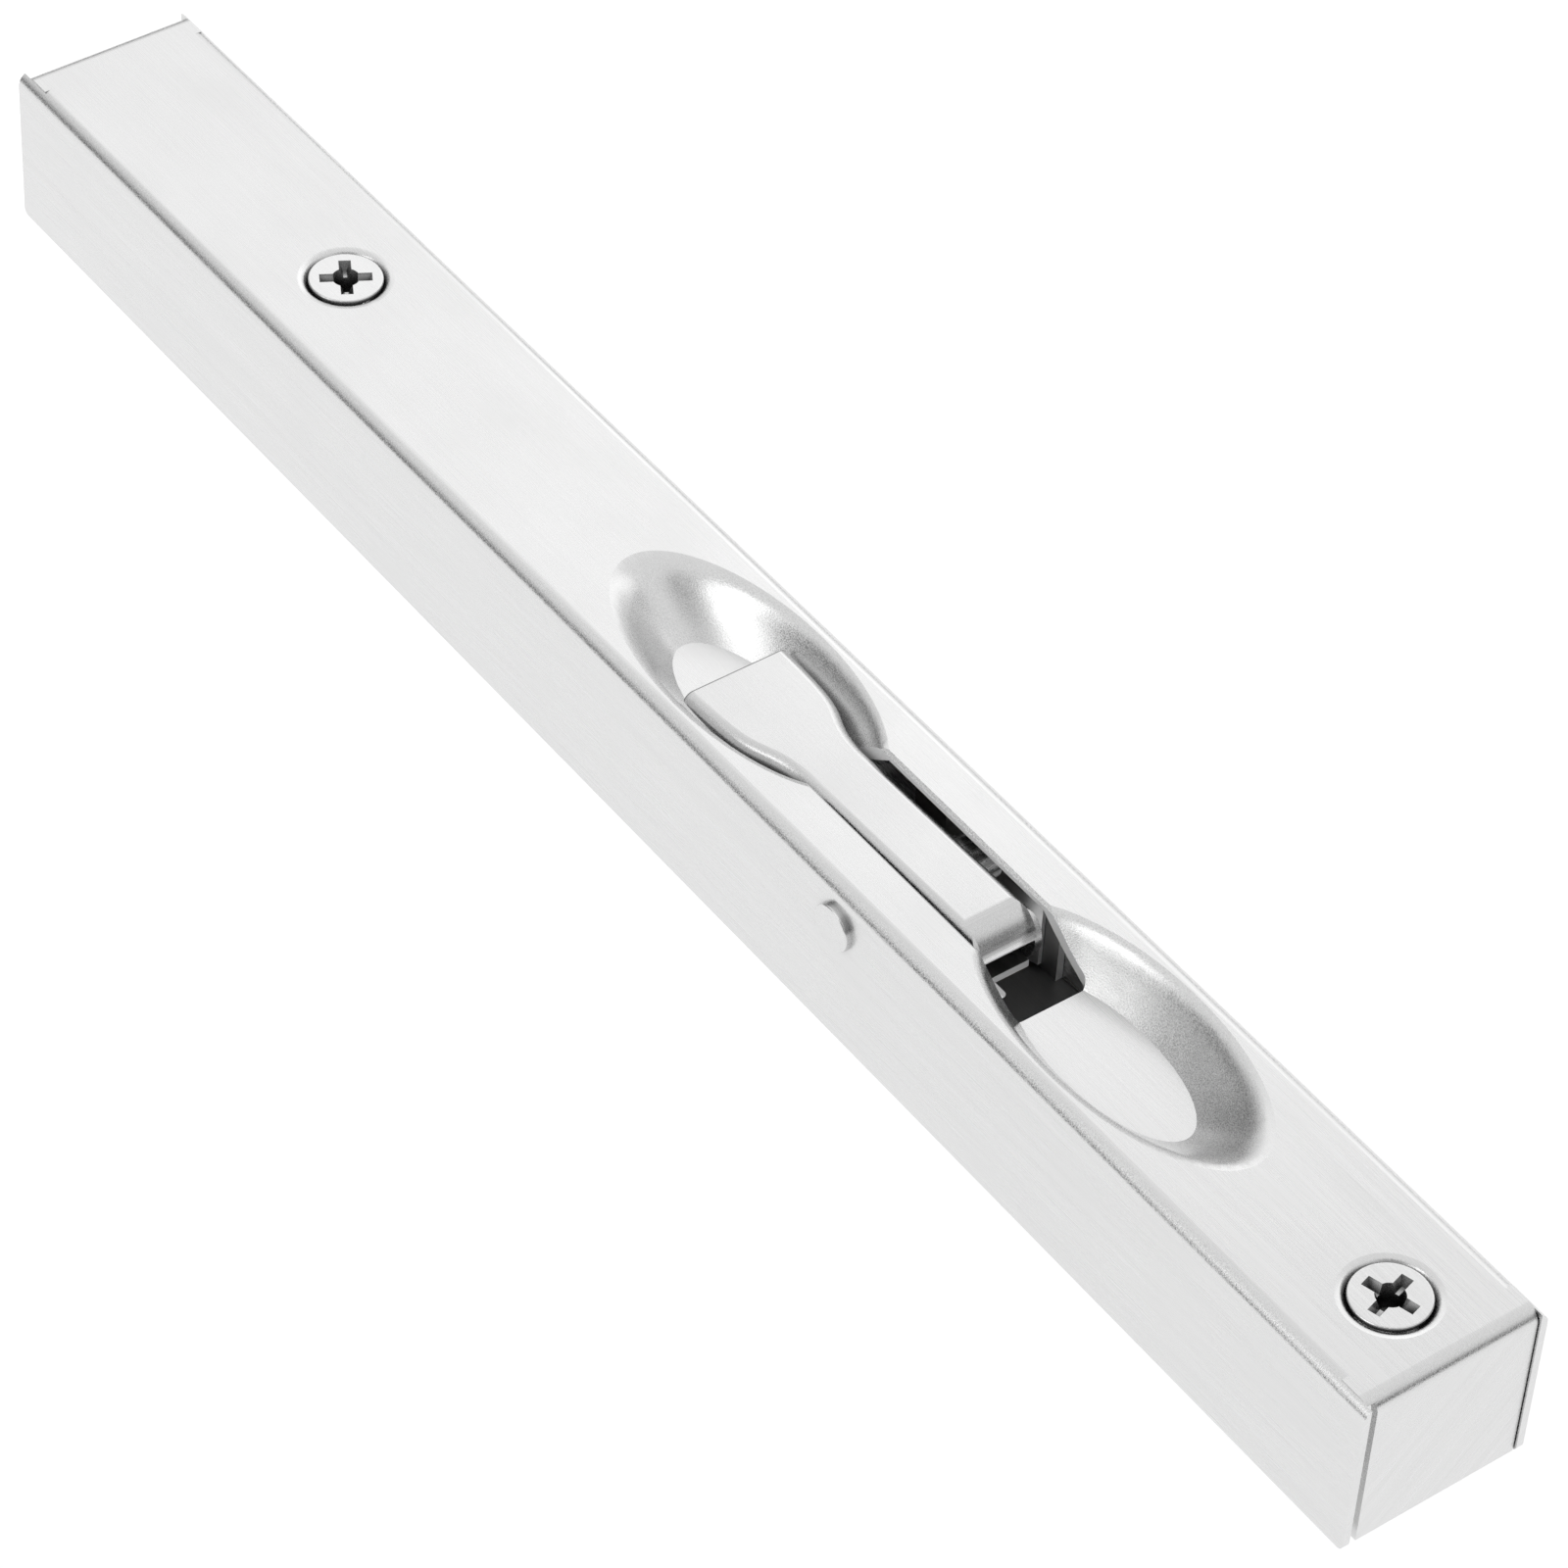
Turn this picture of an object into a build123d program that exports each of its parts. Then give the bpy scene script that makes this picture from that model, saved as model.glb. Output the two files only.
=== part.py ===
"""Lever-action flush bolt: folded steel case, flip-over lever, drive strip and round bolt.

Frame, in millimetres: the origin is the middle of the front face's outline, +X runs along
the case away from the bolt's end, +Y across it, and +Z out of the front face.
"""
from build123d import *
import os
from math import asin, cos, degrees, radians, sin

os.makedirs("parts", exist_ok=True)

# ---------------------------------------------------------------- driving dimensions
CASE_LENGTH = 200.0
CASE_WIDTH = 19.0
CASE_DEPTH = 16.8
SHEET = 0.75
BEND = 1.45              # outer radius of every fold of the case
FLAP_INSET = 0.25        # end flaps sit this far inside the side walls' ends
FLAP_EDGES = (-7.85, 8.65)  # the end flaps sit off centre, with a wide slit at one side wall
FLAP_LAP = 2.0           # how far an end flap runs back into the front face
SLIT_TOP = 0.4           # the slits beside an end flap start this far below the front face
CORNER_ROUND = 0.6       # rounding of the side walls' lower corners

RECESS_X = 31.6          # middle of the pressed finger recess, over the lever's pivot
RECESS_DEPTH = 4.4
SLOT_HALF_LENGTH = 17.4
SLOT_HALF_WIDTH = 3.9
SLOT_CORNER = 0.8
SLOT_EASE = 0.3          # chamfer where the punch rolled the slot's long edges over

PIVOT_Z = -4.3
PIVOT_RADIUS = 1.5
RUNNING_GAP = 0.05
RIVET_HEAD_RADIUS = 2.25
RIVET_HEAD_HEIGHT = 0.6

LEVER_TILT = 1.32        # degrees that the lever's back falls towards its tip
LEVER_TOP = 3.46         # height of the lever's back above the pivot
LEVER_TIP = -27.56
SHANK_HALF_WIDTH = 3.35
NOSE_RADIUS = 2.7
NOSE_START = 8.1
NOSE_WRAP = 80.0         # degrees that the back wraps down round the nose
THROW = 16.0

CHANNEL_WEB_TOP = -13.3
STRIP_TOP = -14.1
STRIP_THICK = 1.2
STRIP_HALF_WIDTH = 7.0
ROD_RADIUS = 5.0
ROD_Z = STRIP_TOP + ROD_RADIUS

SCREW_XS = {"near_screw": (91.8, 16.0), "far_screw": (-57.6, -30.0)}
SCREW_RADIUS = 1.75
SCREW_NECK = 1.55
THREAD_DEPTH = 17.1      # where the thread starts, below the front face
SCREW_HEAD_RADIUS = 3.5
SCREW_LENGTH = 25.0
CROSS_REACH = 2.45        # from the middle of a screw to the end of each arm of its cross
CROSS_WIDTH = 1.15
CROSS_HUB = 1.3          # radius of the deep middle of the cross
SCREW_HOLE = 1.95
DIMPLE_RADIUS = 3.9
DIMPLE_LIP = 4.5          # where the soft lip of a countersink starts
DIMPLE_DEPTH = 2.2

HALF_LENGTH = CASE_LENGTH / 2
HALF_WIDTH = CASE_WIDTH / 2
INNER_HALF = HALF_WIDTH - SHEET


def finish(part, name):
    """Label one finished piece and write its STEP file."""
    part.label = name
    export_step(part, f"parts/{name}.step")


def cross_plane(x):
    """Plane across the case at x, drawn as (Y, Z), with its normal along +X."""
    return Plane(origin=(x, 0, 0), x_dir=(0, 1, 0), z_dir=(1, 0, 0))


def side_plane(x, z, y=0.0):
    """Plane along the case through (x, y, z), drawn as (X, Z)."""
    return Plane(origin=(x, y, z), x_dir=(1, 0, 0), z_dir=(0, -1, 0))


# ---------------------------------------------------------------- case
# each outline of one end of the recess: centre's distance from the pivot, half length, half width
LIP_OVAL = (26.0, 17.4, 7.8)
FLOOR_OVAL = (24.4, 10.9, 4.4)
# share of the way in from the lip to the floor, and the depth there as a share of the whole
WALL_PROFILE = [(-0.08, -0.01), (0.03, 0.012), (0.13, 0.055), (0.25, 0.15), (0.4, 0.33), (0.7, 0.7), (1, 1)]
PRESS_GROW = 0.45        # how much wider the pressed metal is below than its hollow is above


def oval_sketch(share, z, grow):
    """Oval sketch at height z, that share of the way from the lip's outline to the floor's."""
    centre, half_length, half_width = [
        lip + share * (floor - lip) for lip, floor in zip(LIP_OVAL, FLOOR_OVAL)
    ]
    with BuildSketch(Plane.XY.offset(z)) as sketch:
        with Locations((RECESS_X - centre, 0)):
            Ellipse(half_length + grow, half_width + grow)
    return sketch.sketch


def lobe_hollow():
    """Hollow of one end of the recess, with a soft lip and a flat floor."""
    with BuildPart() as bowl:
        loft([oval_sketch(share, -RECESS_DEPTH * depth, 0) for share, depth in WALL_PROFILE])
    return bowl.part


def lobe_underside():
    """Solid that the press pushes down below one end of the recess."""
    with BuildPart() as bowl:
        loft([oval_sketch(0, -SHEET / 2, PRESS_GROW),
              oval_sketch(1, -RECESS_DEPTH - SHEET, PRESS_GROW)])
    return bowl.part


def flap(side):
    """Folded end flap: a strip of the front face bent down over the open end."""
    outer = side * (HALF_LENGTH - FLAP_INSET)
    with BuildPart() as end:
        with BuildSketch(side_plane(outer - side * BEND, -BEND)):
            with BuildLine():
                Line((-side * FLAP_LAP, BEND), (0, BEND))
                CenterArc((0, 0), BEND, 90, -90 * side)
                Line((side * BEND, 0), (side * BEND, BEND - CASE_DEPTH))
                Line((side * BEND, BEND - CASE_DEPTH), (side * (BEND - SHEET), BEND - CASE_DEPTH))
                Line((side * (BEND - SHEET), BEND - CASE_DEPTH), (side * (BEND - SHEET), 0))
                CenterArc((0, 0), BEND - SHEET, 90 - 90 * side, 90 * side)
                Line((0, BEND - SHEET), (-side * FLAP_LAP, BEND - SHEET))
                Line((-side * FLAP_LAP, BEND - SHEET), (-side * FLAP_LAP, BEND))
            make_face()
        extrude(amount=INNER_HALF, both=True)
    return end.part


def dimple_hollow(x):
    """Hollow of a pressed countersink, with a soft lip."""
    with BuildPart() as cone:
        with BuildSketch(side_plane(x, 0)):
            with BuildLine():
                Polyline((DIMPLE_LIP, 0), (DIMPLE_LIP, 0.5), (0, 0.5), (0, -DIMPLE_DEPTH),
                         (SCREW_HOLE, -DIMPLE_DEPTH), (DIMPLE_RADIUS - 0.25, -0.45))
                Spline((DIMPLE_LIP, 0), (DIMPLE_RADIUS, -0.16), (DIMPLE_RADIUS - 0.25, -0.45),
                       tangents=[(-1, 0), (-0.75, -0.66)])
            make_face()
        revolve(axis=Axis((x, 0, 0), (0, 0, 1)))
    return cone.part


def dimple_underside(x):
    """Bulge that a pressed countersink makes below the front face."""
    low = DIMPLE_DEPTH + SHEET / 2
    with BuildPart() as cone:
        with BuildSketch(side_plane(x, 0)):
            with BuildLine():
                Polyline((0, -SHEET / 2), (DIMPLE_RADIUS + 0.6, -SHEET / 2), (DIMPLE_RADIUS + 0.6, -SHEET),
                         (SCREW_HOLE + 0.6, -low), (0, -low), (0, -SHEET / 2))
            make_face()
        revolve(axis=Axis((x, 0, 0), (0, 0, 1)))
    return cone.part


recess_middle = Plane(origin=(RECESS_X, 0, 0), z_dir=(1, 0, 0))
undersides = [lobe_underside()]
undersides.append(mirror(undersides[0], about=recess_middle))
hollows = [lobe_hollow()]
hollows.append(mirror(hollows[0], about=recess_middle))

with BuildPart() as housing:
    with BuildSketch(cross_plane(0)):
        with BuildLine():
            Polyline(
                (-HALF_WIDTH, -CASE_DEPTH), (-HALF_WIDTH, 0), (HALF_WIDTH, 0),
                (HALF_WIDTH, -CASE_DEPTH), (INNER_HALF, -CASE_DEPTH), (INNER_HALF, -SHEET),
                (-INNER_HALF, -SHEET), (-INNER_HALF, -CASE_DEPTH), (-HALF_WIDTH, -CASE_DEPTH),
            )
        make_face()
    extrude(amount=HALF_LENGTH, both=True)
    long_edges = housing.edges().filter_by(Axis.X)
    fillet(long_edges.group_by(Axis.Z)[-1], BEND)
    fillet(housing.edges().filter_by(Axis.X).filter_by_position(Axis.Z, -SHEET - 0.01, -SHEET + 0.01),
           BEND - SHEET)
    corner_edges = housing.edges().filter_by(Axis.Y).group_by(Axis.Z)[0]
    fillet(corner_edges, CORNER_ROUND)
    for side in (-1, 1):
        with BuildSketch(Plane.XY):
            with Locations((side * HALF_LENGTH, 0)):
                Rectangle(2 * (BEND + FLAP_INSET), 2 * INNER_HALF)
        extrude(amount=-2 * SHEET, mode=Mode.SUBTRACT)
        add(flap(side))
        for y_from, y_to in ((-INNER_HALF, FLAP_EDGES[0]), (FLAP_EDGES[1], INNER_HALF)):
            with BuildSketch(Plane.XY.offset(-SLIT_TOP)):
                with Locations((side * HALF_LENGTH, (y_from + y_to) / 2)):
                    Rectangle(2 * (BEND + FLAP_INSET), y_to - y_from)
            extrude(amount=-CASE_DEPTH, mode=Mode.SUBTRACT)
    for underside in undersides:
        add(underside)
    for x, _ in SCREW_XS.values():
        add(dimple_underside(x))
    for hollow in hollows:
        add(hollow, mode=Mode.SUBTRACT)
    for x, _ in SCREW_XS.values():
        add(dimple_hollow(x), mode=Mode.SUBTRACT)
        with BuildSketch(Plane.XY.offset(1)):
            with Locations((x, 0)):
                Circle(SCREW_HOLE)
        extrude(amount=-6, mode=Mode.SUBTRACT)
    with BuildSketch(Plane.XY.offset(1)):
        with Locations((RECESS_X, 0)):
            RectangleRounded(2 * SLOT_HALF_LENGTH, 2 * SLOT_HALF_WIDTH, SLOT_CORNER)
    extrude(amount=-8, mode=Mode.SUBTRACT)
    with BuildSketch(cross_plane(RECESS_X)):
        for side in (-1, 1):
            with BuildLine():
                edge_y = side * SLOT_HALF_WIDTH
                Polyline((edge_y, 0), (edge_y + side * SLOT_EASE, 0), (edge_y, -SLOT_EASE), (edge_y, 0))
            make_face()
    extrude(amount=SLOT_HALF_LENGTH - SLOT_CORNER, both=True, mode=Mode.SUBTRACT)
    with BuildSketch(side_plane(RECESS_X, PIVOT_Z)):
        Circle(PIVOT_RADIUS)
    extrude(amount=HALF_WIDTH + 1, both=True, mode=Mode.SUBTRACT)
    with BuildSketch(cross_plane(-HALF_LENGTH - 1)):
        with Locations((0, ROD_Z)):
            Circle(ROD_RADIUS + RUNNING_GAP + 0.05)
    extrude(amount=4, mode=Mode.SUBTRACT)
finish(housing.part, "housing")


# ---------------------------------------------------------------- lever
lever_plane = Plane(
    origin=(RECESS_X, 0, PIVOT_Z),
    x_dir=(cos(radians(LEVER_TILT)), 0, sin(radians(LEVER_TILT))),
    z_dir=(-sin(radians(LEVER_TILT)), 0, cos(radians(LEVER_TILT))),
)
lever_side = Plane(origin=lever_plane.origin, x_dir=lever_plane.x_dir, z_dir=(0, -1, 0))
BLADE = [(LEVER_TIP, 5.58), (-22.2, 5.35), (-18.9, 4.75), (-16.8, 3.95), (-14.3, 3.42),
         (-12.0, SHANK_HALF_WIDTH)]
NOSE_CENTRE = (NOSE_START, LEVER_TOP - NOSE_RADIUS)
LOBE_CENTRE = (8.6, 0.6)
LOBE_RADIUS = 3.05
BOSS_RADIUS = 2.8
BLADE_ROUND = 1.0        # rounding between the lever's back and its sides
CURL_HALF_WIDTH = 2.85   # half width of the curled part of the nose, between the two sides
PAST_NOSE = 14.0         # further along the lever than any of its metal
CRANK_X = 5.6
CRANK_RADIUS = 1.0
CRANK_HEAD_RADIUS = 1.7
CRANK_HEAD_HEIGHT = 0.3


def lever_plan(inset):
    """Face of the lever seen from above, with its sides moved in by inset."""
    with BuildSketch(lever_plane) as plan:
        with BuildLine():
            right = [(x, y - inset) for x, y in BLADE]
            left = [(x, -y) for x, y in right]
            Line(left[0], right[0])
            Spline(*right, tangents=[(1, -0.03), (1, 0)])
            Polyline(right[-1], (PAST_NOSE, SHANK_HALF_WIDTH - inset),
                     (PAST_NOSE, inset - SHANK_HALF_WIDTH), left[-1])
            Spline(*left, tangents=[(1, 0.03), (1, 0)])
        make_face()
    return plan.sketch


def nose_end(radius):
    """Point where the wrapped nose of that radius ends."""
    turn = radians(NOSE_WRAP)
    return (NOSE_CENTRE[0] + radius * sin(turn), NOSE_CENTRE[1] + radius * cos(turn))


with BuildPart() as lever_hollow:
    extrude(lever_plan(SHEET), amount=LEVER_TOP + 1, both=True)
    inner_radius = NOSE_RADIUS - SHEET
    wrap_end = nose_end(inner_radius)
    with BuildSketch(lever_side):
        with BuildLine():
            Line((LEVER_TIP - 1, LEVER_TOP - SHEET), (NOSE_START, LEVER_TOP - SHEET))
            CenterArc(NOSE_CENTRE, inner_radius, 90, -NOSE_WRAP)
            Polyline(wrap_end, (PAST_NOSE, wrap_end[1]), (PAST_NOSE, -5), (LEVER_TIP - 1, -5),
                     (LEVER_TIP - 1, LEVER_TOP - SHEET))
        make_face()
    extrude(amount=8, both=True, mode=Mode.INTERSECT)

with BuildPart() as lever:
    extrude(lever_plan(0), amount=LEVER_TOP, both=True)
    top_sides = [
        edge for edge in lever.edges()
        if abs(lever_plane.to_local_coords(edge.center()).Z - LEVER_TOP) < 0.01
        and abs(edge.center().Y) > 2.0
    ]
    fillet(top_sides, BLADE_ROUND)
    with BuildSketch(lever_side):
        with BuildLine():
            Polyline((LOBE_CENTRE[0], LEVER_TOP), (LEVER_TIP, LEVER_TOP), (LEVER_TIP, LEVER_TOP - SHEET))
            Spline((LEVER_TIP, LEVER_TOP - SHEET), (-23.5, 2.15), (-19.5, 1.75), (-16.5, 1.35), (-10.0, 0.0))
            Line((-10.0, 0.0), (-2.0, -BOSS_RADIUS))
            Polyline((-2.0, -BOSS_RADIUS), (0, -BOSS_RADIUS), (LOBE_CENTRE[0], LOBE_CENTRE[1] - LOBE_RADIUS))
            lobe_rise = LEVER_TOP - LOBE_CENTRE[1]
            CenterArc(LOBE_CENTRE, LOBE_RADIUS, -90, 90 + degrees(asin(lobe_rise / LOBE_RADIUS)))
            lobe_top = (LOBE_CENTRE[0] + (LOBE_RADIUS**2 - lobe_rise**2) ** 0.5, LEVER_TOP)
            Line(lobe_top, (LOBE_CENTRE[0], LEVER_TOP))
        make_face()
    extrude(amount=8, both=True, mode=Mode.INTERSECT)
    add(lever_hollow.part, mode=Mode.SUBTRACT)
    outer_end = nose_end(NOSE_RADIUS)
    with BuildSketch(lever_side):
        with BuildLine():
            CenterArc(NOSE_CENTRE, NOSE_RADIUS, 90, -NOSE_WRAP)
            Polyline(outer_end, (PAST_NOSE, outer_end[1]), (PAST_NOSE, 6), (NOSE_START, 6),
                     (NOSE_START, LEVER_TOP))
        make_face()
    extrude(amount=CURL_HALF_WIDTH, both=True, mode=Mode.SUBTRACT)
    with BuildSketch(lever_side):
        Circle(PIVOT_RADIUS + RUNNING_GAP)
        with Locations((CRANK_X, 0)):
            Circle(CRANK_RADIUS)
    extrude(amount=8, both=True, mode=Mode.SUBTRACT)
finish(lever.part, "lever")

LINER_HALF = SHANK_HALF_WIDTH - SHEET - 0.03
LINER_SOLE = -2.35       # underside of the liner, below the pivot
LINER_FLOOR = LINER_SOLE + SHEET
with BuildPart() as crank_liner:
    with BuildSketch(lever_side):
        with BuildLine():
            Polyline((-5, LINER_SOLE), (11.1, LINER_SOLE), (11.1, LINER_FLOOR), (9.0, -1.4), (7.0, 0.9),
                     (4.5, 2.3), (-5, 2.3), (-5, LINER_SOLE))
        make_face()
    extrude(amount=LINER_HALF, both=True)
    with BuildSketch(lever_side):
        with BuildLine():
            Polyline((-6, LINER_FLOOR), (12, LINER_FLOOR), (12, 4), (-6, 4), (-6, LINER_FLOOR))
        make_face()
    extrude(amount=LINER_HALF - SHEET, both=True, mode=Mode.SUBTRACT)
    with BuildSketch(lever_side):
        Circle(PIVOT_RADIUS + RUNNING_GAP)
        with Locations((CRANK_X, 0)):
            Circle(CRANK_RADIUS)
    extrude(amount=8, both=True, mode=Mode.SUBTRACT)
finish(crank_liner.part, "crank_liner")

with BuildPart() as crank_rivet:
    with BuildSketch(lever_side):
        with Locations((CRANK_X, 0)):
            Circle(CRANK_RADIUS)
    extrude(amount=SHANK_HALF_WIDTH, both=True)
    for side in (-1, 1):
        with BuildSketch(Plane(origin=lever_plane.origin + Vector(0, side * SHANK_HALF_WIDTH, 0),
                               x_dir=lever_plane.x_dir, z_dir=(0, -1, 0))):
            with Locations((CRANK_X, 0)):
                Circle(CRANK_HEAD_RADIUS)
        extrude(amount=-side * CRANK_HEAD_HEIGHT)
finish(crank_rivet.part, "crank_rivet")


# ---------------------------------------------------------------- pivot
def ring(y_from, y_to, outer, inner):
    """Round collar on the lever's pivot between two distances across the case."""
    with BuildPart() as collar:
        with BuildSketch(side_plane(RECESS_X, PIVOT_Z, y_from)):
            Circle(outer)
            Circle(inner, mode=Mode.SUBTRACT)
        extrude(amount=y_from - y_to)
    return collar.part


CHANNEL_OUTER = INNER_HALF - 0.05
CHANNEL_INNER = CHANNEL_OUTER - SHEET
LEAF_THICK = 0.4
PIVOT_FIT = 0.01         # how much wider than the pivot the holes of its collars are
WASHER_RADIUS = 2.7
SPACER_RADIUS = 2.3
HEAD_ROUND = 0.18
WASHER_INNER = SHANK_HALF_WIDTH + 0.08
WASHER_OUTER = WASHER_INNER + 0.4
LEAF_CROWN = 6.4
SPACER_ENDS = {"left": CHANNEL_INNER - 0.02, "right": LEAF_CROWN - 0.02}

with BuildPart() as pivot_rivet:
    with BuildSketch(side_plane(RECESS_X, PIVOT_Z)):
        Circle(PIVOT_RADIUS)
    extrude(amount=HALF_WIDTH, both=True)
    for side in (-1, 1):
        with BuildSketch(side_plane(RECESS_X, PIVOT_Z, side * HALF_WIDTH)):
            Circle(RIVET_HEAD_RADIUS)
        extrude(amount=-side * RIVET_HEAD_HEIGHT)
    fillet(pivot_rivet.edges().filter_by(GeomType.CIRCLE).group_by(Axis.Y)[0], HEAD_ROUND)
    fillet(pivot_rivet.edges().filter_by(GeomType.CIRCLE).group_by(Axis.Y)[-1], HEAD_ROUND)
finish(pivot_rivet.part, "pivot_rivet")

for name, side in (("left", -1), ("right", 1)):
    washer = ring(side * WASHER_INNER, side * WASHER_OUTER, WASHER_RADIUS, PIVOT_RADIUS + PIVOT_FIT)
    finish(washer, f"lever_washer_{name}")
    sleeve = ring(side * WASHER_OUTER, side * SPACER_ENDS[name], SPACER_RADIUS, PIVOT_RADIUS + PIVOT_FIT)
    finish(sleeve, f"pivot_spacer_{name}")

LEAF_HALF = 6.8          # half length of the bowed spring leaf
LEAF_BOTTOM = -12.8
LEAF_HEIGHT = 10.8
with BuildPart() as friction_leaf:
    with BuildSketch(Plane.XY.offset(LEAF_BOTTOM)):
        with BuildLine():
            end_y = CHANNEL_INNER - LEAF_THICK - 0.03
            front = [(RECESS_X - LEAF_HALF, end_y), (RECESS_X, LEAF_CROWN), (RECESS_X + LEAF_HALF, end_y)]
            back = [(x, y + LEAF_THICK) for x, y in front]
            ThreePointArc(*front)
            Line(front[2], back[2])
            ThreePointArc(*back)
            Line(back[0], front[0])
        make_face()
    extrude(amount=LEAF_HEIGHT)
    with BuildSketch(side_plane(RECESS_X, PIVOT_Z)):
        Circle(PIVOT_RADIUS + 0.15)
    extrude(amount=-10, mode=Mode.SUBTRACT)
finish(friction_leaf.part, "friction_leaf")


# ---------------------------------------------------------------- inner channel
WINDOW_HALF = 7.9        # half length of the opening that the nose swings through
CHANNEL_ENDS = (12.0, 56.0)
CHEEK_ENDS = (20.0, 40.4)
with BuildPart() as inner_channel:
    web_bottom = CHANNEL_WEB_TOP - SHEET
    cheek_top = -2.0
    with BuildSketch(Plane.XY.offset(web_bottom)):
        with Locations(((CHANNEL_ENDS[0] + CHANNEL_ENDS[1]) / 2, 0)):
            Rectangle(CHANNEL_ENDS[1] - CHANNEL_ENDS[0], 2 * CHANNEL_OUTER)
    extrude(amount=SHEET)
    for side in (-1, 1):
        with BuildSketch(Plane.XY.offset(web_bottom)):
            with Locations(((CHEEK_ENDS[0] + CHEEK_ENDS[1]) / 2, side * (CHANNEL_OUTER - SHEET / 2))):
                Rectangle(CHEEK_ENDS[1] - CHEEK_ENDS[0], SHEET)
        extrude(amount=cheek_top - web_bottom)
    with BuildSketch(Plane.XY.offset(web_bottom - 1)):
        with Locations((RECESS_X, 0)):
            RectangleRounded(2 * WINDOW_HALF, 2 * (SHANK_HALF_WIDTH + 0.2), 0.5)
    extrude(amount=3, mode=Mode.SUBTRACT)
    with BuildSketch(side_plane(RECESS_X, PIVOT_Z)):
        Circle(PIVOT_RADIUS)
    extrude(amount=HALF_WIDTH, both=True, mode=Mode.SUBTRACT)
finish(inner_channel.part, "inner_channel")


# ---------------------------------------------------------------- bolt
STRIP_ENDS = (-76.0, 50.0)
DRIVE_WINDOW = (35.2, 45.8)
SCREW_SLOT_HALF_WIDTH = 2.4
SCREW_SLOT_END_GAP = 2.6
RIVET_XS = (-72.5, -65.5)
RIVET_RADIUS = 1.5
STOP_X = 9.6
STOP_RADIUS = 1.25
ROD_TIP = -99.4
ROD_TAIL = -62.0

with BuildPart() as drive_strip:
    far_x = SCREW_XS["far_screw"][0]
    with BuildSketch(Plane.XY.offset(STRIP_TOP)):
        with Locations(((STRIP_ENDS[0] + STRIP_ENDS[1]) / 2, 0)):
            RectangleRounded(STRIP_ENDS[1] - STRIP_ENDS[0], 2 * STRIP_HALF_WIDTH, 1.0)
        with Locations(((DRIVE_WINDOW[0] + DRIVE_WINDOW[1]) / 2, 0)):
            RectangleRounded(DRIVE_WINDOW[1] - DRIVE_WINDOW[0], 2 * (SHANK_HALF_WIDTH + 0.25), 0.5,
                             mode=Mode.SUBTRACT)
        with Locations((far_x + THROW / 2, 0)):
            SlotOverall(THROW + 2 * SCREW_SLOT_END_GAP, 2 * SCREW_SLOT_HALF_WIDTH, mode=Mode.SUBTRACT)
        with Locations(*[(x, 0) for x in RIVET_XS]):
            Circle(RIVET_RADIUS, mode=Mode.SUBTRACT)
        with Locations((STOP_X, 0)):
            Circle(STOP_RADIUS, mode=Mode.SUBTRACT)
    extrude(amount=-STRIP_THICK)
finish(drive_strip.part, "drive_strip")

with BuildPart() as bolt_rod:
    with BuildSketch(cross_plane(ROD_TIP)):
        with Locations((0, ROD_Z)):
            Circle(ROD_RADIUS)
    extrude(amount=ROD_TAIL - ROD_TIP)
    fillet(bolt_rod.edges().group_by(Axis.X)[0], 1.2)
    chamfer(bolt_rod.edges().group_by(Axis.X)[-1], 0.5)
    with BuildSketch(Plane.XY.offset(0)):
        with Locations(*[(x, 0) for x in RIVET_XS]):
            Circle(RIVET_RADIUS)
    extrude(amount=-20, mode=Mode.SUBTRACT)
finish(bolt_rod.part, "bolt_rod")

with BuildPart() as bolt_rivets:
    for x in RIVET_XS:
        bottom = STRIP_TOP - STRIP_THICK
        with BuildSketch(Plane.XY.offset(bottom)):
            with Locations((x, 0)):
                Circle(RIVET_RADIUS)
        extrude(amount=ROD_Z + ROD_RADIUS - 0.3 - bottom)
        with BuildSketch(Plane.XY.offset(bottom)):
            with Locations((x, 0)):
                Circle(RIVET_RADIUS + 1.0)
        extrude(amount=-0.7)
finish(bolt_rivets.part, "bolt_rivets")

with BuildPart() as stop_pin:
    with BuildSketch(Plane.XY.offset(STRIP_TOP - STRIP_THICK)):
        with Locations((STOP_X, 0)):
            Circle(STOP_RADIUS)
    extrude(amount=STRIP_THICK + 2.0)
    with BuildSketch(Plane.XY.offset(STRIP_TOP)):
        with Locations((STOP_X, 0)):
            Circle(STOP_RADIUS + 0.95)
    extrude(amount=2.6)
    fillet(stop_pin.edges().group_by(Axis.Z)[-1], 0.3)
finish(stop_pin.part, "stop_pin")


# ---------------------------------------------------------------- guides
GUIDE_X = -95.0
with BuildPart() as bolt_guide:
    guide_half = INNER_HALF - SHEET
    with BuildSketch(side_plane(GUIDE_X, -SHEET)):
        with BuildLine():
            Polyline((-0.6, 0), (9, 0), (9, -1.0), (0.4, -1.0), (0.4, -15.2), (-0.6, -15.2), (-0.6, 0))
        make_face()
    extrude(amount=guide_half, both=True)
    with BuildSketch(cross_plane(GUIDE_X - 1)):
        with Locations((0, ROD_Z)):
            Circle(ROD_RADIUS + RUNNING_GAP + 0.05)
    extrude(amount=2, mode=Mode.SUBTRACT)
finish(bolt_guide.part, "bolt_guide")


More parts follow.
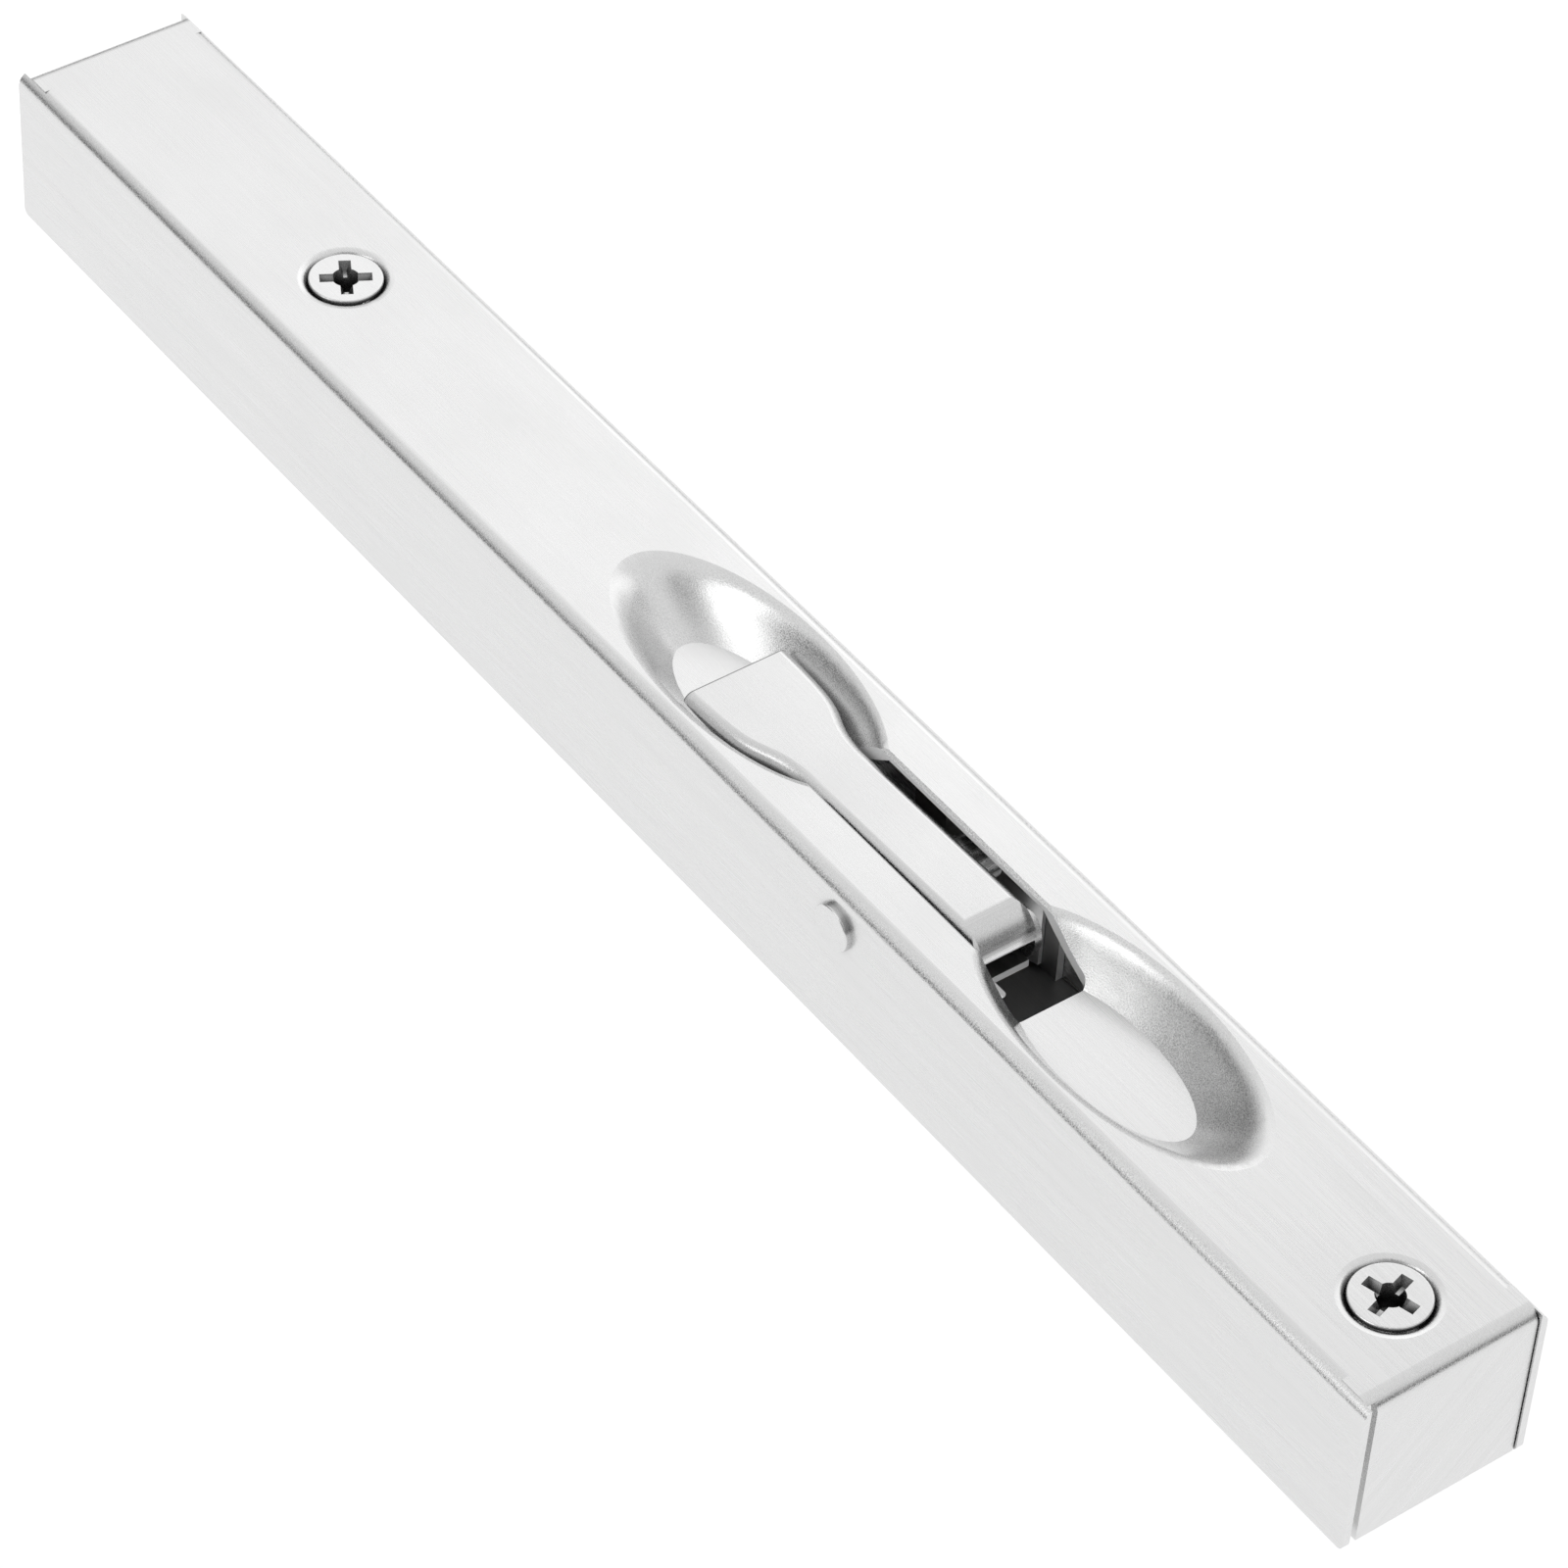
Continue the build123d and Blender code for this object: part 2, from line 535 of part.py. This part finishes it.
def strip_guide(x, length):
    """U-shaped strap under the drive strip, with its ends turned up against the side walls."""
    outer = INNER_HALF - 0.02
    low = STRIP_TOP - STRIP_THICK - 0.15
    with BuildPart() as strap:
        with BuildSketch(cross_plane(x)):
            with BuildLine():
                Polyline((-outer, -9), (-outer, low - SHEET), (outer, low - SHEET), (outer, -9),
                         (outer - SHEET, -9), (outer - SHEET, low), (SHEET - outer, low),
                         (SHEET - outer, -9), (-outer, -9))
            make_face()
        extrude(amount=length / 2, both=True)
        fillet(strap.edges().filter_by(Axis.X).group_by(Axis.Z)[0], 0.7)
    return strap.part


GUIDE_LENGTH = 8.0
finish(strip_guide(-44.0, GUIDE_LENGTH), "strip_guide_front")
finish(strip_guide(6.0, GUIDE_LENGTH), "strip_guide_rear")


# ---------------------------------------------------------------- screws
def screw(x, turn):
    """Countersunk cross-recess wood screw, its thread drawn as a plain shank."""
    head_top = 0.05
    rim = 0.45
    seat = SCREW_HEAD_RADIUS - SCREW_NECK
    with BuildPart() as body:
        with BuildSketch(side_plane(x, head_top)):
            with BuildLine():
                Polyline((0, 0), (SCREW_HEAD_RADIUS, 0), (SCREW_HEAD_RADIUS, -rim),
                         (SCREW_NECK, -rim - seat), (SCREW_NECK, -THREAD_DEPTH),
                         (SCREW_RADIUS, -THREAD_DEPTH), (SCREW_RADIUS, 3.0 - SCREW_LENGTH),
                         (0, -SCREW_LENGTH), (0, 0))
            make_face()
        revolve(axis=Axis((x, 0, 0), (0, 0, 1)))
        fillet(body.edges().group_by(Axis.Z)[-1], 0.15)
        with BuildSketch(Plane.XY.offset(head_top)):
            with Locations(Location((x, 0, 0), (0, 0, turn))):
                Rectangle(2 * CROSS_REACH, CROSS_WIDTH)
                Rectangle(CROSS_WIDTH, 2 * CROSS_REACH)
        extrude(amount=-0.9, taper=24, mode=Mode.SUBTRACT)
        with BuildSketch(Plane.XY.offset(head_top)):
            with Locations((x, 0)):
                Circle(CROSS_HUB)
        extrude(amount=-2.3, taper=14, mode=Mode.SUBTRACT)
    return body.part


for name, (x, turn) in SCREW_XS.items():
    finish(screw(x, turn), name)
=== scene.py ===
"""A lever-action flush bolt in brushed stainless steel, on a plain white floor."""
import math

import bpy
from mathutils import Matrix, Vector


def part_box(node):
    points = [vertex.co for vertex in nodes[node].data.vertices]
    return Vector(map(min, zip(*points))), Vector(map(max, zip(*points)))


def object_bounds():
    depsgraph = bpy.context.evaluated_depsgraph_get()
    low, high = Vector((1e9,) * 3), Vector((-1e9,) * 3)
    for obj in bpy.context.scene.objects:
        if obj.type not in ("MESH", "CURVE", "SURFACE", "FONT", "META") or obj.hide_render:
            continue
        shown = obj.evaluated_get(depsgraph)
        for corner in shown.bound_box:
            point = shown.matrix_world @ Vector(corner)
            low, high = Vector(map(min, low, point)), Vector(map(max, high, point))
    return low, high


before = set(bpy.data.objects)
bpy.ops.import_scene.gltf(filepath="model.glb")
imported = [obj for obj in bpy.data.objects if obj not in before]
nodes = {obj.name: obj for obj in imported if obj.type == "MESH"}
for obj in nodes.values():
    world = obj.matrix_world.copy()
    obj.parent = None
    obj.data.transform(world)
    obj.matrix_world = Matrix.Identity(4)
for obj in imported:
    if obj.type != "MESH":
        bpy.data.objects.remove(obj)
cad_box = [list(corner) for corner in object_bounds()]
MM = 0.001
TOWARD_CAMERA = (0.57, -0.45, 0.69)
GRAIN_DEPTH = 0.006 * MM
GRAIN_CONTRAST = 0.2      # how far the brushing lightens and darkens the steel
CUT_SHADE = 0.95          # colour of a bare cut edge, which is matte
CUT_ROUGHNESS = 0.6
CUT_METALLIC = 0.35
FLOOR_DROP = 0.08         # distance of the floor below the screws' points


# ---------------------------------------------------------------- node helpers
class Graph:
    """A material's node tree, with one short method for each kind of node it uses."""

    def __init__(self, name):
        self.material = bpy.data.materials.new(name)
        self.material.use_nodes = True
        self.tree = self.material.node_tree
        self.shader = self.tree.nodes["Principled BSDF"]
        self.coords = self.tree.nodes.new("ShaderNodeTexCoord").outputs["Object"]

    def plug(self, value, socket):
        """Set a socket to a number or a tuple, or link another node's output to it."""
        if isinstance(value, bpy.types.NodeSocket):
            self.tree.links.new(value, socket)
        else:
            socket.default_value = value

    def stretch(self, scale, turn=(0, 0, 0)):
        """Object coordinates turned and then scaled differently along each axis."""
        mapping = self.tree.nodes.new("ShaderNodeMapping")
        mapping.vector_type = "TEXTURE"
        mapping.inputs["Rotation"].default_value = turn
        mapping.inputs["Scale"].default_value = scale
        self.tree.links.new(self.coords, mapping.inputs["Vector"])
        return mapping.outputs["Vector"]

    def noise(self, vector, detail=3.0, roughness=0.55):
        """Noise from 0 to 1, averaging a half."""
        node = self.tree.nodes.new("ShaderNodeTexNoise")
        node.inputs["Scale"].default_value = 1.0
        node.inputs["Detail"].default_value = detail
        node.inputs["Roughness"].default_value = roughness
        self.tree.links.new(vector, node.inputs["Vector"])
        return node.outputs["Fac"]

    def math(self, kind, *values):
        """One arithmetic node."""
        node = self.tree.nodes.new("ShaderNodeMath")
        node.operation = kind
        for value, socket in zip(values, node.inputs):
            self.plug(value, socket)
        return node.outputs["Value"]

    def remap(self, value, low, high, to_low, to_high):
        """Value moved from one range to another, held at the ends."""
        node = self.tree.nodes.new("ShaderNodeMapRange")
        for number, name in ((low, "From Min"), (high, "From Max"), (to_low, "To Min"), (to_high, "To Max")):
            node.inputs[name].default_value = number
        self.tree.links.new(value, node.inputs["Value"])
        return node.outputs["Result"]

    def blend(self, share, first, second):
        """Number between first and second, by share."""
        node = self.tree.nodes.new("ShaderNodeMix")
        node.data_type = "FLOAT"
        for value, socket in zip((share, first, second), (node.inputs[0], node.inputs[2], node.inputs[3])):
            self.plug(value, socket)
        return node.outputs[0]

    def grey(self, value):
        """Neutral colour from a number."""
        node = self.tree.nodes.new("ShaderNodeCombineColor")
        for name in ("Red", "Green", "Blue"):
            self.plug(value, node.inputs[name])
        return node.outputs["Color"]

    def bump(self, height, distance):
        """Surface normal from a height."""
        node = self.tree.nodes.new("ShaderNodeBump")
        node.inputs["Strength"].default_value = 1.0
        node.inputs["Distance"].default_value = distance
        self.tree.links.new(height, node.inputs["Height"])
        self.tree.links.new(node.outputs["Normal"], self.shader.inputs["Normal"])

    def split(self, source):
        """The three parts of a vector."""
        node = self.tree.nodes.new("ShaderNodeSeparateXYZ")
        self.tree.links.new(source, node.inputs["Vector"])
        return [node.outputs[axis] for axis in "XYZ"]

    def slope(self):
        """Absolute X, Y and Z parts of the surface's direction."""
        normal = self.coords.node.outputs["Normal"]
        return [self.math("ABSOLUTE", part) for part in self.split(normal)]

    def facing(self, axis):
        """1 where the surface faces along that axis, and 0 elsewhere."""
        return self.remap(self.slope()["XYZ".index(axis)], 0.9, 0.99, 0.0, 1.0)

    def place(self, axis):
        """Position along one axis, in metres."""
        return self.split(self.coords)["XYZ".index(axis)]

    def crevices(self, reach):
        """1 in the open, falling towards 0 in slits and inner corners narrower than reach."""
        node = self.tree.nodes.new("ShaderNodeAmbientOcclusion")
        node.samples = 8
        node.inputs["Distance"].default_value = reach
        return node.outputs["AO"]


def grain(g, along, turn=(0, 0, 0)):
    """Brushing along one axis: fine scratches over soft bands, averaging a half."""
    fine = [0.00010] * 3
    fine["xyz".index(along)] = 0.011
    band = [0.0007] * 3
    band["xyz".index(along)] = 0.05
    scratches = g.noise(g.stretch(fine, turn), detail=3.0, roughness=0.65)
    bands = g.noise(g.stretch(band, turn), detail=2.0)
    return g.math("ADD", g.math("MULTIPLY", scratches, 0.65), g.math("MULTIPLY", bands, 0.35))


def brushed(name, along, base=0.72, roughness=0.25, across=None, sandy=1.0, crevice_shade=0.3,
            reach=1.2 * MM, cut_edges=None, outlined_end=None):
    """Brushed steel: grain along one axis, a second grain where across says, sandy stretched folds.

    Crevices narrower than reach lose up to crevice_shade of their brightness, as painted shade. cut_edges
    says where the bare edge of the sheet shows, and outlined_end is the X of an end given a thin painted
    shade line along its edge.
    """
    g = Graph(name)
    lines = grain(g, along)
    if across:
        where, second = across(g)
        lines = g.blend(where, lines, second)
    slope_x, slope_y, slope_z = g.slope()
    squareness = g.math("MAXIMUM", g.math("MAXIMUM", slope_x, slope_y), slope_z)
    folded = g.remap(g.math("SUBTRACT", 1.0, squareness), 0.015, 0.12, 0.0, sandy)
    sand = g.noise(g.stretch((0.00018, 0.00012, 0.00012)), detail=2.0, roughness=0.7)
    smudge = g.noise(g.stretch((0.014, 0.009, 0.009)), detail=3.0)
    height = g.blend(folded, lines, g.math("ADD", g.math("MULTIPLY", sand, 2.4), -0.7))
    # painted shade: slits and inner corners narrower than reach are darkened by ambient occlusion
    painted_shade_factor = g.remap(g.crevices(reach), 0.2, 0.9, 1.0 - crevice_shade, 1.0)
    value = g.math("ADD", base - GRAIN_CONTRAST / 2, g.math("MULTIPLY", height, GRAIN_CONTRAST))
    value = g.math("MULTIPLY", value, painted_shade_factor)
    if outlined_end is not None:
        # painted shade: a thin dark line just inside the end edge
        painted_edge_line = g.remap(g.place("X"), outlined_end + 0.05 * MM, outlined_end + 0.16 * MM, 0.3, 1.0)
        value = g.math("MULTIPLY", value, painted_edge_line)
    rough = g.math("ADD", g.remap(height, 0.3, 0.7, roughness - 0.05, roughness + 0.07),
                   g.remap(smudge, 0.35, 0.7, -0.02, 0.05))
    if cut_edges:
        cut = cut_edges(g)
        value = g.blend(cut, value, CUT_SHADE)
        rough = g.blend(cut, rough, CUT_ROUGHNESS)
        g.plug(g.blend(cut, 1.0, CUT_METALLIC), g.shader.inputs["Metallic"])
    else:
        g.shader.inputs["Metallic"].default_value = 1.0
    g.plug(g.grey(value), g.shader.inputs["Base Color"])
    g.plug(rough, g.shader.inputs["Roughness"])
    g.bump(height, GRAIN_DEPTH)
    return g.material


def ends_of_sheet(g):
    """Cut edges that face along the case."""
    return g.facing("X")


def sides_of_slot(g):
    """Cut edges along the finger recess's slot."""
    near_slot = g.remap(g.math("ABSOLUTE", g.place("Y")), 4.05 * MM, 4.2 * MM, 1.0, 0.0)
    return g.math("MULTIPLY", g.facing("Y"), near_slot)


def diagonal_on_flaps(g):
    """The end flaps' own brushing, which runs corner to corner."""
    return g.facing("X"), grain(g, "y", (math.radians(45), 0, 0))


def crosswise_on_nose(g):
    """The lever's nose is brushed across, because it was finished after it was curled."""
    nose_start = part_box("lever")[1].x - 3.6 * MM
    deep_lines = g.math("ADD", g.math("MULTIPLY", grain(g, "y"), 2.2), -0.7)
    return g.remap(g.place("X"), nose_start, nose_start + 0.8 * MM, 0.0, 1.0), deep_lines


def set_material(node_names, material):
    """Give CAD nodes one material."""
    for name in node_names:
        for slot in nodes[name].material_slots:
            slot.material = material


# ---------------------------------------------------------------- materials
case_steel = brushed("case_steel", "x", across=diagonal_on_flaps, cut_edges=sides_of_slot)
# the lever's tip gets a painted shade line along its end edge
lever_steel = brushed("lever_steel", "x", base=0.67, roughness=0.24, across=crosswise_on_nose,
                      outlined_end=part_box("lever")[0].x)
inner_steel = brushed("inner_steel", "x", base=0.40, roughness=0.38, sandy=0.4, cut_edges=ends_of_sheet)
bolt_steel = brushed("bolt_steel", "x", base=0.62, roughness=0.3, sandy=0.0)
pin_steel = brushed("pin_steel", "y", base=0.72, roughness=0.26, sandy=0.2)
# the screws get strong painted shade in their dimples and cross slots
screw_steel = brushed("screw_steel", "x", base=0.74, roughness=0.24, sandy=0.3,
                      crevice_shade=0.85, reach=3.0 * MM)
spring_steel = brushed("spring_steel", "x", base=0.6, roughness=0.3, sandy=0.0, cut_edges=ends_of_sheet)

set_material(["housing"], case_steel)
set_material(["lever"], lever_steel)
set_material(["inner_channel", "crank_liner", "bolt_guide", "strip_guide_front", "strip_guide_rear"],
             inner_steel)
set_material(["drive_strip", "bolt_rod"], bolt_steel)
set_material(["crank_rivet", "pivot_rivet", "lever_washer_left", "lever_washer_right",
              "pivot_spacer_left", "pivot_spacer_right", "bolt_rivets", "stop_pin"], pin_steel)
set_material(["near_screw", "far_screw"], screw_steel)
set_material(["friction_leaf"], spring_steel)


# ---------------------------------------------------------------- floor, lights and camera
def make_floor():
    """Plain white floor well below the part, with a slight glow that keeps it white in the shade."""
    reach = 6.0
    mesh = bpy.data.meshes.new("floor")
    z = cad_box[0][2] - FLOOR_DROP
    corners = [(-reach, -reach, z), (reach, -reach, z), (reach, reach, z), (-reach, reach, z)]
    mesh.from_pydata(corners, [], [(0, 1, 2, 3)])
    floor = bpy.data.objects.new("floor", mesh)
    bpy.context.scene.collection.objects.link(floor)
    g = Graph("floor_white")
    tone = g.noise(g.stretch((0.4, 0.4, 0.4)), detail=2.0)
    g.plug(g.grey(g.remap(tone, 0.3, 0.7, 0.90, 0.92)), g.shader.inputs["Base Color"])
    g.shader.inputs["Roughness"].default_value = 0.9
    g.shader.inputs["Emission Color"].default_value = (1, 1, 1, 1)
    g.shader.inputs["Emission Strength"].default_value = 0.29
    mesh.materials.append(g.material)


def softbox(name, direction, distance, size, radiance):
    """Square light in that direction from the origin and aimed at it, whose face shows that radiance."""
    toward = Vector(direction).normalized()
    data = bpy.data.lights.new(name, "AREA")
    data.shape = "SQUARE"
    data.size = size
    data.energy = radiance * math.pi * size * size
    light = bpy.data.objects.new(name, data)
    light.location = toward * distance
    light.rotation_euler = (-toward).to_track_quat("-Z", "Y").to_euler()
    bpy.context.scene.collection.objects.link(light)


def make_camera():
    """Long lens looking down on the near end, turned so that the case runs corner to corner."""
    data = bpy.data.cameras.new("camera")
    data.sensor_width = 36.0
    data.lens = 141.06
    data.clip_start = 0.01
    data.clip_end = 20.0
    camera = bpy.data.objects.new("camera", data)
    right = Vector((0.58914, 0.80666, 0.04710))
    up = Vector((-0.58118, 0.38252, 0.71827))
    back = Vector((0.56138, -0.45053, 0.69417))
    turn = Matrix((right, up, back)).transposed()
    camera.matrix_world = Matrix.Translation(Vector((0.31123, -0.24042, 0.36151))) @ turn.to_4x4()
    bpy.context.scene.collection.objects.link(camera)
    bpy.context.scene.camera = camera


def make_world():
    """White studio: bright overhead, with a darker band low down and a grey patch behind the camera."""
    world = bpy.data.worlds.new("studio")
    world.use_nodes = True
    tree = world.node_tree
    background = tree.nodes["Background"]
    direction = tree.nodes.new("ShaderNodeTexCoord").outputs["Generated"]
    strength = None
    # each shade: a direction, the dot products where it starts and ends, and its factor at each
    shades = (
        ((0, 0, 1), 0.18, 0.64, 0.17, 0.90),
        (TOWARD_CAMERA, 0.86, 0.97, 1.0, 0.5),
    )
    for toward, low, high, at_low, at_high in shades:
        facing = tree.nodes.new("ShaderNodeVectorMath")
        facing.operation = "DOT_PRODUCT"
        tree.links.new(direction, facing.inputs[0])
        facing.inputs[1].default_value = toward
        shade = tree.nodes.new("ShaderNodeMapRange")
        for number, name in ((low, "From Min"), (high, "From Max"), (at_low, "To Min"), (at_high, "To Max")):
            shade.inputs[name].default_value = number
        tree.links.new(facing.outputs["Value"], shade.inputs["Value"])
        if strength is None:
            strength = shade.outputs["Result"]
            continue
        product = tree.nodes.new("ShaderNodeMath")
        product.operation = "MULTIPLY"
        tree.links.new(strength, product.inputs[0])
        tree.links.new(shade.outputs["Result"], product.inputs[1])
        strength = product.outputs["Value"]
    tree.links.new(strength, background.inputs["Strength"])
    background.inputs["Color"].default_value = (1, 1, 1, 1)
    bpy.context.scene.world = world


make_floor()
make_camera()
make_world()
softbox("sky_box", (-0.82, 0.38, 0.5), 1.6, 1.2, 0.36)
softbox("back_box", (-0.35, 0.85, 0.35), 1.6, 1.4, 0.6)
softbox("key_box", (-0.10, -0.88, 0.44), 1.3, 0.75, 1.3)
softbox("front_box", (0.9, 0.4, 0.5), 1.5, 0.7, 0.1)
bpy.context.scene.view_settings.view_transform = "Standard"
